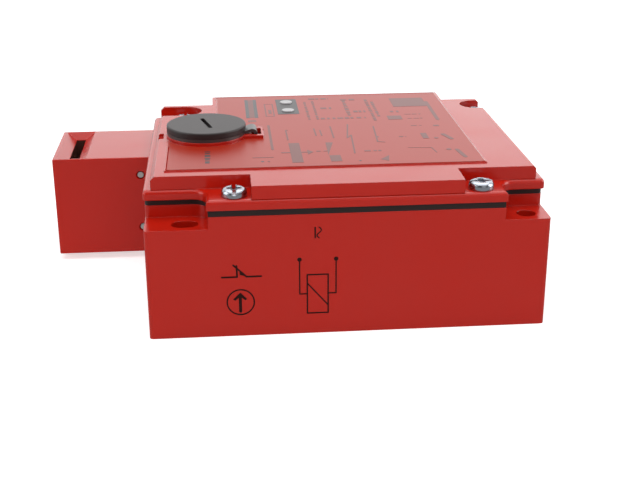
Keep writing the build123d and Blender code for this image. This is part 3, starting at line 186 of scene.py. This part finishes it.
lens = new_material("white_lens", (0.46, 0.44, 0.45), 0.25, ior=1.45)
black_moulding = new_material("black_moulding", (0.02, 0.02, 0.021), 0.5)
cream_moulding = new_material("cream_moulding", (0.60, 0.55, 0.43), 0.5)
acetal = new_material("white_acetal", (0.75, 0.75, 0.71), 0.4)
brass = new_material("contact_brass", (0.76, 0.57, 0.27), 0.28, metallic=1.0)
bronze = new_material("bush_bronze", (0.52, 0.33, 0.16), 0.45, metallic=1.0)
copper = new_material("copper_winding", (0.70, 0.28, 0.13), 0.35, metallic=1.0)
laminate = new_material("green_laminate", (0.02, 0.17, 0.06), 0.4)
epoxy = new_material("amber_epoxy", (0.80, 0.32, 0.04), 0.15)
ink_black = new_material("black_ink", (0.032, 0.006, 0.004), 0.4, ior=1.2)
ink_grey = new_material("grey_ink", (0.18, 0.035, 0.028), 0.34, ior=1.31)
ink_dark = new_material("dark_ink", (0.05, 0.04, 0.045), 0.34, ior=1.31)
# painted highlight and painted shade for the label film's rim
rim_painted_highlight = new_material("painted_highlight_rim", (0.78, 0.52, 0.50), 0.3, ior=1.31)
rim_painted_shade = new_material("painted_shade_rim", (0.36, 0.012, 0.006), 0.9, ior=1.05)
panel_black = new_material("panel_black", (0.035, 0.03, 0.032), 0.34, ior=1.31)

FINISH = {
    "red_enamel": enamel,
    "label_film": film,
    "seal_rubber": rubber,
    "zinc_plated_steel": zinc,
    "bright_steel": steel,
    "spring_steel": spring_wire,
    "white_lens": lens,
    "black_moulding": black_moulding,
    "block_moulding": cream_moulding,
    "carrier_moulding": acetal,
    "contact_brass": brass,
    "bush_bronze": bronze,
    "coil_copper": copper,
    "circuit_board": laminate,
    "led_epoxy": epoxy,
}
OWN_FINISH = {
    "screw_cap": cap_plastic,
    "cap_strap": strap_plastic,
    "head_housing": head_enamel_painted_shade,
    "cover_screws": pan_head_zinc,
}
slot_of = {entry["node"]: entry["material_slot"] for entry in frame["record"]["subparts"]}
for name, obj in nodes.items():
    finish = OWN_FINISH.get(name, FINISH[slot_of[name]])
    obj.data.materials.clear()
    obj.data.materials.append(finish)


# --- springs ----------------------------------------------------------------------------------


STEPS_PER_TURN = 28
WIRE_SIDES = 10
END_WINDING = 0.45  # how much closer a coil is wound at its ends than in its middle


def coil_spring(name, node, axis, moving_end, wire_r, turns):
    """A wire coil in the place of a CAD one, closer wound at its ends."""
    low, high = (Vector(corner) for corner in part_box(node))
    wire = wire_r * MM
    middle = (low + high) / 2
    across = [i for i in range(3) if i != axis]
    radius = (high - low)[across[0]] / 2 - wire
    first, last = low[axis] + wire, high[axis] - wire
    steps = int(turns * STEPS_PER_TURN)
    mesh = bmesh.new()
    rings = []
    for i in range(steps + 1):
        share = i / steps
        wound = share - END_WINDING * math.sin(2 * math.pi * share) / (2 * math.pi)
        along = first + (last - first) * wound
        angle = 2 * math.pi * share * turns
        rings.append([])
        for j in range(WIRE_SIDES):
            around = 2 * math.pi * j / WIRE_SIDES
            reach = radius + wire * math.cos(around)
            point = Vector(middle)
            point[axis] = along + wire * math.sin(around)
            point[across[0]] += reach * math.cos(angle)
            point[across[1]] += reach * math.sin(angle)
            rings[-1].append(mesh.verts.new(point))
    for a, b in zip(rings, rings[1:]):
        for j in range(WIRE_SIDES):
            k = (j + 1) % WIRE_SIDES
            mesh.faces.new((a[j], a[k], b[k], b[j]))
    mesh.faces.new(rings[0])
    mesh.faces.new(rings[-1])
    bmesh.ops.recalc_face_normals(mesh, faces=mesh.faces)
    data = bpy.data.meshes.new(name)
    mesh.to_mesh(data)
    mesh.free()
    for face in data.polygons:
        face.use_smooth = True
    data.materials.append(spring_wire)
    piece = bpy.data.objects.new(name, data)
    bpy.context.collection.objects.link(piece)
    start, end = Vector(middle), Vector(middle)
    start[axis], end[axis] = (high[axis], low[axis]) if moving_end == "low" else (low[axis], high[axis])
    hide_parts(node)
    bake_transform(piece)


coil_spring("return_coil", "plunger_spring", 0, "low", 0.35, 5.5)
coil_spring("armature_coil", "lock_spring", 1, "high", 0.3, 4.5)


# --- printed marks --------------------------------------------------------------------------


LAYER_STEP = 0.0001  # mm by which each printed shape lies above the one before


class Print:
    """Flat strokes and shapes laid on one face, gathered into a single thin piece."""

    def __init__(self, place, thickness=0.03):
        self.place = place
        self.thickness = thickness
        self.count = 0
        self.mesh = bmesh.new()

    def shape(self, outline):
        """A filled outline, points in mm on the face."""
        self.count += 1
        top = self.thickness + LAYER_STEP * self.count
        lower = [self.mesh.verts.new(self.place(a, b, 0)) for a, b in outline]
        upper = [self.mesh.verts.new(self.place(a, b, top)) for a, b in outline]
        self.mesh.faces.new(upper)
        for i in range(len(outline)):
            j = (i + 1) % len(outline)
            self.mesh.faces.new((lower[i], lower[j], upper[j], upper[i]))

    def bar(self, a, b, width, height):
        """A filled upright rectangle centred on a, b."""
        w, h = width / 2, height / 2
        self.shape([(a - w, b - h), (a + w, b - h), (a + w, b + h), (a - w, b + h)])

    def stroke(self, points, width):
        """A line of even width through the points, each corner closed by a small disc."""
        for (ax, ay), (bx, by) in zip(points, points[1:]):
            along = Vector((bx - ax, by - ay)).normalized()
            side = Vector((-along.y, along.x)) * width / 2
            self.shape(
                [
                    (ax + side.x, ay + side.y),
                    (ax - side.x, ay - side.y),
                    (bx - side.x, by - side.y),
                    (bx + side.x, by + side.y),
                ]
            )
        for a, b in points:
            self.disc(a, b, width / 2, 10)

    def disc(self, a, b, radius, sides=28):
        """A filled circle."""
        turn = 2 * math.pi / sides
        self.shape(
            [(a + radius * math.cos(i * turn), b + radius * math.sin(i * turn)) for i in range(sides)]
        )

    def frame(self, a, b, width, height, line):
        """An upright rectangle drawn as a line."""
        w, h = width / 2, height / 2
        corners = [(a - w, b - h), (a + w, b - h), (a + w, b + h), (a - w, b + h)]
        self.stroke([*corners, corners[0]], line)

    def lettering(self, start, end, width):
        """Small uneven dashes along a line, like lettering too small to read."""
        start, end = Vector(start), Vector(end)
        along = (end - start).normalized()
        side = Vector((-along.y, along.x))
        at = 0.0
        while at < (end - start).length:
            reach = min(random.uniform(0.8, 2.2), (end - start).length - at)
            w = width * random.uniform(0.35, 0.5)
            a, b = start + along * at, start + along * (at + reach)
            self.shape([a + side * w, a - side * w, b - side * w, b + side * w])
            at += reach + random.uniform(0.3, 1.1)

    def ring(self, a, b, radius, width, sides=48):
        """A circle drawn as a line."""
        turn = 2 * math.pi / sides
        inner, outer = radius - width / 2, radius + width / 2
        for i in range(sides):
            c0, s0 = math.cos(i * turn), math.sin(i * turn)
            c1, s1 = math.cos((i + 1) * turn), math.sin((i + 1) * turn)
            self.shape(
                [
                    (a + inner * c0, b + inner * s0),
                    (a + outer * c0, b + outer * s0),
                    (a + outer * c1, b + outer * s1),
                    (a + inner * c1, b + inner * s1),
                ]
            )

    def plate_with_hole(self, a, b, radius, half_width, low, high, sides=36):
        """An upright rectangle with a round hole at a, b, as wedges that reach its sides and corners."""
        angles = [2 * math.pi * i / sides for i in range(sides)]
        for edge in (low - b, high - b):
            angles += [math.atan2(edge, w) % (2 * math.pi) for w in (-half_width, half_width)]
        angles.sort()
        spokes = []
        for angle in [*angles, angles[0]]:
            c, s = math.cos(angle), math.sin(angle)
            to_side = half_width / max(abs(c), 1e-6)
            to_end = abs((high if s > 0 else low) - b) / max(abs(s), 1e-6)
            reach = min(to_side, to_end)
            spokes.append(((a + radius * c, b + radius * s), (a + reach * c, b + reach * s)))
        for (a0, a1), (b0, b1) in zip(spokes, spokes[1:]):
            self.shape([a0, a1, b1, b0])

    def finish(self, name, material, slot, body="housing"):
        """Makes the piece, gives it its ink and lets it ride on a body."""
        bmesh.ops.recalc_face_normals(self.mesh, faces=self.mesh.faces)
        data = bpy.data.meshes.new(name)
        self.mesh.to_mesh(data)
        self.mesh.free()
        piece = bpy.data.objects.new(name, data)
        bpy.context.collection.objects.link(piece)
        data.materials.append(material)
        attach(piece, body)


def on_near_face(u, z, lift):
    """u along the body from its head end, z up from the mounting face, in mm."""
    return Vector((PRINT_X0 + u, NEAR_FACE - lift, z)) * MM


def on_label(u, v, lift):
    """u along the body from its head end, v from its near face, in mm."""
    return Vector((PRINT_X0 + u, NEAR_FACE + v, LABEL_TOP + lift)) * MM


marks = Print(on_near_face)
# direction of actuation: arrow in a ring
marks.ring(25.4, 10.3, 3.75, 0.4)
marks.stroke([(25.3, 7.5), (25.3, 12.0)], 0.85)
marks.shape([(23.3, 11.2), (23.9, 10.8), (25.3, 12.0), (26.7, 10.8), (27.2, 11.2), (25.35, 13.2)])
# break contact with positive opening
marks.stroke([(20.4, 17.9), (24.6, 17.9), (24.5, 21.2)], 0.5)
marks.stroke([(23.6, 21.4), (27.2, 17.9), (31.2, 17.9)], 0.5)
marks.shape([(25.3, 19.6), (25.3, 18.5), (27.2, 18.0)])
# solenoid coil with its two leads
marks.stroke([(43.9, 6.2), (49.7, 6.2), (49.7, 17.8), (43.9, 17.8), (43.9, 6.2)], 0.4)
marks.stroke([(43.9, 15.3), (49.7, 8.5)], 0.36)
marks.stroke([(41.8, 22.4), (41.8, 12.1), (43.9, 12.1)], 0.36)
marks.stroke([(51.9, 22.3), (51.9, 12.1), (49.7, 12.1)], 0.36)
marks.disc(41.8, 22.4, 0.62)
marks.disc(51.9, 22.3, 0.62)
# direct and alternating current, a bar beside one wave
wave_u, wave_swing, wave_z, wave_length, wave_steps = 47.25, 0.6, 28.6, 3.12, 12
marks.stroke([(46.15, 28.7), (46.15, 31.7)], 0.4)
wave = []
for i in range(wave_steps + 1):
    share = i / wave_steps
    wave.append((wave_u - wave_swing * math.sin(2 * math.pi * share), wave_z + wave_length * share))
marks.stroke(wave, 0.32)
marks.finish("near_face_marks", ink_black, "black_moulding")

# --- label ------------------------------------------------------------------------------------

label = Print(on_label, 0.02)
# dark panel round the two lenses, a cell for each
LENS_HOLE_R, LENS_FLANGE_R = 2.1, 3.0
lens_low, lens_high = (Vector(corner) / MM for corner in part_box("led_lenses"))
lens_u = (lens_low.x + lens_high.x) / 2 - PRINT_X0
near_v = lens_low.y + LENS_FLANGE_R - NEAR_FACE
far_v = lens_high.y - LENS_FLANGE_R - NEAR_FACE
panel = Print(on_label, 0.03)
for lens_v, low_v, high_v in ((near_v, 71.5, 81.3), (far_v, 81.3, 91.0)):
    panel.plate_with_hole(lens_u, lens_v, LENS_HOLE_R, 3.5, low_v, high_v)
panel.finish("lamp_panel", panel_black, "black_moulding")

# printed table: a bar, its framed neighbour, and columns and rows of dashes for small lettering
label.bar(31.7, 79.6, 1.7, 23.2)
label.bar(31.5, 64.0, 2.6, 2.4)
label.frame(37.6, 77.2, 2.6, 15.6, 0.4)
label.bar(37.7, 75.0, 1.0, 5.0)
random.seed(4)
for column, low, high, width in (
    (49.9, 64.0, 87.0, 1.0),
    (52.6, 64.0, 88.0, 0.9),
    (63.2, 68.0, 88.0, 1.3),
    (70.8, 61.0, 89.0, 1.2),
    (72.6, 66.0, 86.0, 1.0),
):
    label.lettering((column, low), (column, high), width)
for row, left, right, width in (
    (90.8, 51.5, 58.4, 1.8),
    (88.6, 62.3, 67.2, 2.2),
    (78.0, 54.6, 58.2, 2.4),
    (72.8, 65.0, 69.0, 2.6),
    (65.0, 53.6, 68.2, 2.0),
    (71.6, 77.0, 79.8, 2.2),
    (67.8, 81.2, 86.4, 0.7),
    (62.6, 81.4, 86.2, 0.7),
    (54.0, 81.0, 84.4, 0.6),
    (53.4, 88.0, 89.8, 1.6),
):
    label.lettering((left, row), (right, row), width)
label.bar(77.4, 64.0, 4.6, 4.6)
label.bar(84.8, 83.4, 11.4, 11.4)
label.stroke([(91.0, 83.4), (90.8, 60.4)], 1.2)
# circuit: a coil with its leads, linked contacts and the outline of a key
label.bar(43.0, 28.2, 3.2, 19.6)
label.stroke([(39.1, 28.4), (47.2, 28.4)], 0.9)
label.shape([(46.4, 26.0), (48.2, 28.4), (46.4, 30.8)])
label.lettering((49.0, 29.0), (52.4, 29.0), 0.9)
label.shape([(52.5, 37.8), (52.2, 24.8), (53.0, 29.0), (54.7, 37.6)])
label.bar(54.0, 21.6, 3.2, 6.0)
label.stroke([(36.4, 58.2), (36.4, 31.8)], 0.8)
for contact in (
    [(42.0, 52.3), (41.5, 52.3), (41.5, 41.4)],
    [(50.3, 53.3), (50.4, 45.4)],
    [(52.0, 51.3), (52.1, 45.3)],
    [(55.6, 55.4), (55.5, 42.5)],
    [(61.3, 57.2), (59.6, 42.1), (61.1, 45.1), (60.0, 26.0)],
    [(69.1, 54.2), (68.2, 37.3), (70.2, 36.6)],
):
    label.stroke(contact, 0.5)
label.lettering((63.0, 28.0), (68.0, 28.0), 1.4)
label.shape([(66.6, 19.4), (69.6, 23.2), (68.8, 17.8)])
label.stroke([(76.4, 30.1), (83.1, 29.7), (83.8, 24.7)], 0.35)
label.bar(83.3, 42.2, 1.8, 6.0)
label.lettering((75.4, 42.0), (77.6, 42.0), 1.0)
label.stroke([(89.2, 43.4), (90.8, 38.3)], 1.5)
label.disc(86.4, 39.5, 0.7)
label.disc(87.9, 27.4, 0.8)
label.stroke([(90.2, 27.0), (91.2, 19.6)], 1.3)
label.stroke([(30.5, 24.2), (36.1, 24.2)], 0.5)
label.disc(34.8, 20.3, 0.4)
label.finish("label_print", ink_grey, "label_film")

# the film's rim: painted shade where it turns from the light, a painted highlight where it catches it
low, high = (Vector(corner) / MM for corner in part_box("label_plate"))
left, near = low.x - PRINT_X0, low.y - NEAR_FACE
right, far = high.x - PRINT_X0, high.y - NEAR_FACE
rim = Print(on_label, 0.02)
# painted shade along the film's left and far edges
rim.stroke([(left + 0.2, near + 0.3), (left + 0.2, 37.6)], 0.3)
rim.stroke([(19.9, far - 0.3), (right - 0.3, far - 0.3)], 0.5)
rim.finish("label_rim", rim_painted_shade, "red_enamel")
# painted highlight along the film's right edge
rim_highlight = Print(on_label, 0.02)
rim_highlight.stroke([(right - 0.1, near + 0.3), (right - 0.1, far - 0.5)], 0.14)
rim_highlight.finish("label_rim_painted_highlight", rim_painted_highlight, "label_film")

# darker print: the sides of the block, the line by the cap and two dots
dark = Print(on_label, 0.02)
dark.bar(30.3, 79.6, 1.1, 23.6)
dark.bar(33.1, 79.6, 1.1, 23.6)
dark.lettering((17.4, 20.0), (17.4, 31.8), 1.7)
dark.disc(33.0, 20.3, 0.5)
dark.disc(60.7, 18.6, 0.4)
dark.disc(68.9, 42.3, 0.4)
dark.finish("label_dark_print", ink_dark, "label_film")

# --- studio -----------------------------------------------------------------------------------

scene = bpy.context.scene
scene.view_settings.view_transform = "Standard"
WHITE = (1, 1, 1, 1)
AIM = Vector((0, 0, 0.02))


def stage_plane(name, width, depth, location, rotation=(0, 0, 0)):
    """A flat rectangle that belongs to the studio."""
    bpy.ops.mesh.primitive_plane_add(size=1, location=location, rotation=rotation)
    plane = bpy.context.object
    plane.name = name
    plane.scale = (width, depth, 1)
    return plane


def map_range(tree, value, from_span=(0, 1), to_span=(0, 1)):
    """A value carried evenly from one span to another."""
    node = tree.nodes.new("ShaderNodeMapRange")
    node.inputs["From Min"].default_value, node.inputs["From Max"].default_value = from_span
    node.inputs["To Min"].default_value, node.inputs["To Max"].default_value = to_span
    tree.links.new(value, node.inputs["Value"])
    return node


def floor_material():
    """White that holds the object's shadow and looks duller in the gloss of its upright faces."""
    mat = new_material("floor_white", (0.86, 0.86, 0.86), 0.9)
    tree = mat.node_tree
    shader = tree.nodes["Principled BSDF"]
    shader.inputs["Specular IOR Level"].default_value = 0
    shader.inputs["Emission Color"].default_value = WHITE
    # far from the lamps the floor makes up for their light itself
    coords = tree.nodes.new("ShaderNodeTexCoord")
    away = tree.nodes.new("ShaderNodeVectorMath")
    away.operation = "LENGTH"
    tree.links.new(coords.outputs["Object"], away.inputs[0])
    far_glow = map_range(tree, away.outputs["Value"], (0.03, 0.12), (0.62, 0.8))
    path = tree.nodes.new("ShaderNodeLightPath")
    glow = map_range(tree, path.outputs["Is Camera Ray"], to_span=(0.1, 0.62))
    tree.links.new(far_glow.outputs["Result"], glow.inputs["To Max"])
    tree.links.new(glow.outputs["Result"], shader.inputs["Emission Strength"])
    dull = tree.nodes.new("ShaderNodeEmission")
    dull.inputs["Strength"].default_value = 0.5
    by_gloss = tree.nodes.new("ShaderNodeMixShader")
    tree.links.new(path.outputs["Is Glossy Ray"], by_gloss.inputs[0])
    tree.links.new(shader.outputs[0], by_gloss.inputs[1])
    tree.links.new(dull.outputs[0], by_gloss.inputs[2])
    tree.links.new(by_gloss.outputs[0], tree.nodes["Material Output"].inputs[0])
    return mat


floor = stage_plane("floor", 8, 8, (0, 0, -FLOOR_DROP * MM))
floor.data.materials.append(floor_material())


def ramp_across(tree, coordinate, axis, span, values):
    """A value that runs evenly along one axis of a coordinate."""
    split = tree.nodes.new("ShaderNodeSeparateXYZ")
    tree.links.new(coordinate, split.inputs[0])
    return map_range(tree, split.outputs[axis], span, values).outputs["Result"]


def gloss_panel(name, size, location, rotation, left_strength, right_strength):
    """A bright panel that only the object's gloss sees, its light running evenly from side to side."""
    panel = stage_plane(name, *size, location, [math.radians(angle) for angle in rotation])
    panel.visible_camera = False
    panel.visible_diffuse = False
    panel.visible_shadow = False
    glow = bpy.data.materials.new(name + "_glow")
    glow.use_nodes = True
    tree = glow.node_tree
    tree.nodes.clear()
    out = tree.nodes.new("ShaderNodeOutputMaterial")
    emit = tree.nodes.new("ShaderNodeEmission")
    coords = tree.nodes.new("ShaderNodeTexCoord")
    strengths = (left_strength, right_strength)
    brightness = ramp_across(tree, coords.outputs["Object"], "X", (-0.2, 0.2), strengths)
    tree.links.new(brightness, emit.inputs["Strength"])
    tree.links.new(emit.outputs[0], out.inputs[0])
    panel.data.materials.append(glow)


gloss_panel("backdrop", (3.4, 1.6), (0, 1.1, 0.7), (78, 0, 0), 1.35, 1.9)
gloss_panel("strip_light", (1.2, 0.3), (0, 0.35, 0.75), (0, 0, 0), 4, 4)
gloss_panel("right_panel", (0.5, 0.7), (0.75, -0.1, 0.37), (90, 0, -90), 5, 5)
gloss_panel("left_panel", (0.5, 0.7), (-0.75, -0.1, 0.37), (90, 0, 90), 3, 3)

def studio_world():
    """A white tent: even for diffuse light, darker towards the viewer for gloss, white behind."""
    world = bpy.data.worlds.new("studio")
    world.use_nodes = True
    tree = world.node_tree
    tree.nodes.clear()
    out = tree.nodes.new("ShaderNodeOutputWorld")
    path = tree.nodes.new("ShaderNodeLightPath")
    coords = tree.nodes.new("ShaderNodeTexCoord")
    even = tree.nodes.new("ShaderNodeBackground")
    even.inputs["Strength"].default_value = 0.24
    gloss = tree.nodes.new("ShaderNodeBackground")
    brightness = ramp_across(tree, coords.outputs["Generated"], "Y", (-0.9, 0.6), (0.06, 0.9))
    tree.links.new(brightness, gloss.inputs["Strength"])
    behind = tree.nodes.new("ShaderNodeBackground")
    behind.inputs["Strength"].default_value = 1.0
    for background in (even, gloss, behind):
        background.inputs["Color"].default_value = WHITE
    by_gloss = tree.nodes.new("ShaderNodeMixShader")
    tree.links.new(path.outputs["Is Glossy Ray"], by_gloss.inputs[0])
    tree.links.new(even.outputs[0], by_gloss.inputs[1])
    tree.links.new(gloss.outputs[0], by_gloss.inputs[2])
    by_camera = tree.nodes.new("ShaderNodeMixShader")
    tree.links.new(path.outputs["Is Camera Ray"], by_camera.inputs[0])
    tree.links.new(by_gloss.outputs[0], by_camera.inputs[1])
    tree.links.new(behind.outputs[0], by_camera.inputs[2])
    tree.links.new(by_camera.outputs[0], out.inputs[0])
    return world


scene.world = studio_world()


def area_light(name, location, size, power):
    """A rectangular softbox aimed at the object."""
    data = bpy.data.lights.new(name, "AREA")
    data.shape = "RECTANGLE"
    data.size, data.size_y = size
    data.energy = power
    light = bpy.data.objects.new(name, data)
    bpy.context.collection.objects.link(light)
    light.location = location
    light.rotation_euler = (AIM - Vector(location)).to_track_quat("-Z", "Y").to_euler()


area_light("top_softbox", (0.0, -0.12, 0.75), (1.0, 0.8), 4.8)
area_light("left_softbox", (-0.7, -0.35, 0.4), (0.5, 0.5), 0.5)
area_light("front_fill", (0.25, -0.9, 0.35), (0.6, 0.5), 0.7)

# --- camera -----------------------------------------------------------------------------------

CAMERA_PLACE = (-0.03643, -0.33599, 0.13991)
CAMERA_RIGHT = Vector((0.99598, -0.08952, -0.00184))
CAMERA_FORWARD = Vector((0.08278, 0.92844, -0.36215))

camera_data = bpy.data.cameras.new("camera")
camera_data.sensor_width = 36
camera_data.lens = 63.7
camera = bpy.data.objects.new("camera", camera_data)
bpy.context.collection.objects.link(camera)
camera_up = CAMERA_RIGHT.cross(CAMERA_FORWARD)
turned = Matrix((CAMERA_RIGHT, camera_up, -CAMERA_FORWARD)).transposed()
camera.matrix_world = Matrix.Translation(CAMERA_PLACE) @ turned.to_4x4()
scene.camera = camera
